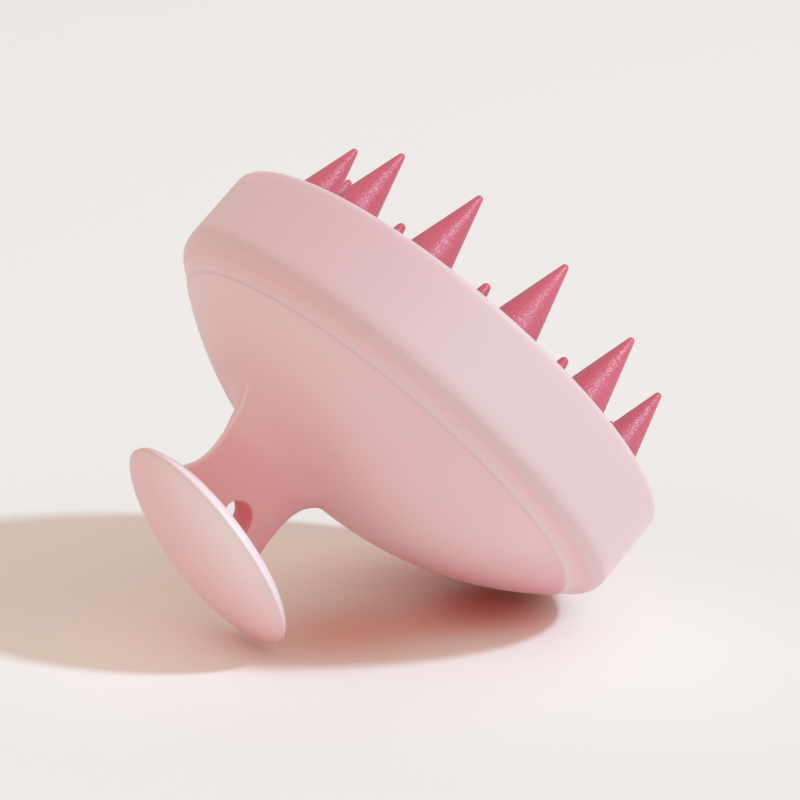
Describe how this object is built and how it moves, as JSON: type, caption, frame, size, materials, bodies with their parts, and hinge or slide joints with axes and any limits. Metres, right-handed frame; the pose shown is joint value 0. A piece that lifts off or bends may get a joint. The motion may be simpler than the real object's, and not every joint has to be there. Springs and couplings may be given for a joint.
{
  "type": "scalp massager brush",
  "caption": "Hand-held scalp massager: a round head of soft silicone cone teeth in a deep ring, under a palm knob on a thin neck with a hanging hole.",
  "frame": {"origin": "on the head's axis, in the plane of the long teeth's tips, which the brush stands on", "axes": "+Z from the teeth to the palm knob, +Y along the hanging hole, +X the way the knob leans"},
  "size_m": [0.0812, 0.0812, 0.0663],
  "materials": {
    "handle_plastic": "soft-touch matte, salmon pink",
    "ring_plastic": "soft-touch matte, pale pink",
    "inner_plastic": "plain moulded, pale pink",
    "pad_silicone": "satin silicone, raspberry pink"
  },
  "bodies": {
    "head": {"handle_shell": "handle_plastic", "palm_cap": "handle_plastic", "skirt_ring": "ring_plastic", "backing_plate": "inner_plastic", "pad_bead": "pad_silicone", "pad_web": "pad_silicone"},
    "tooth_pad": {"tooth_bed": "pad_silicone", "long_tooth_01": "pad_silicone", "long_tooth_02": "pad_silicone", "long_tooth_03": "pad_silicone", "long_tooth_04": "pad_silicone", "long_tooth_05": "pad_silicone", "long_tooth_06": "pad_silicone", "long_tooth_07": "pad_silicone", "long_tooth_08": "pad_silicone", "long_tooth_09": "pad_silicone", "long_tooth_10": "pad_silicone", "long_tooth_11": "pad_silicone", "long_tooth_12": "pad_silicone", "short_tooth_01": "pad_silicone", "short_tooth_02": "pad_silicone", "short_tooth_03": "pad_silicone", "short_tooth_04": "pad_silicone", "short_tooth_05": "pad_silicone", "short_tooth_06": "pad_silicone", "short_tooth_07": "pad_silicone", "short_tooth_08": "pad_silicone", "short_tooth_09": "pad_silicone", "short_tooth_10": "pad_silicone", "short_tooth_11": "pad_silicone", "short_tooth_12": "pad_silicone", "middle_tooth_01": "pad_silicone", "middle_tooth_02": "pad_silicone", "middle_tooth_03": "pad_silicone", "middle_tooth_04": "pad_silicone", "middle_tooth_05": "pad_silicone", "middle_tooth_06": "pad_silicone", "middle_tooth_07": "pad_silicone", "middle_tooth_08": "pad_silicone", "middle_tooth_09": "pad_silicone", "middle_tooth_10": "pad_silicone", "middle_tooth_11": "pad_silicone", "middle_tooth_12": "pad_silicone", "inner_tooth_01": "pad_silicone", "inner_tooth_02": "pad_silicone", "inner_tooth_03": "pad_silicone", "inner_tooth_04": "pad_silicone", "inner_tooth_05": "pad_silicone", "inner_tooth_06": "pad_silicone", "centre_tooth": "pad_silicone"}
  },
  "joints": [
    {"name": "pad_press", "type": "slide", "parent": "head", "child": "tooth_pad", "axis": [0, 0, 1], "range_m": [0, 0.002], "stiffness_N_per_m": 3500, "deforming": ["pad_web"]}
  ]
}
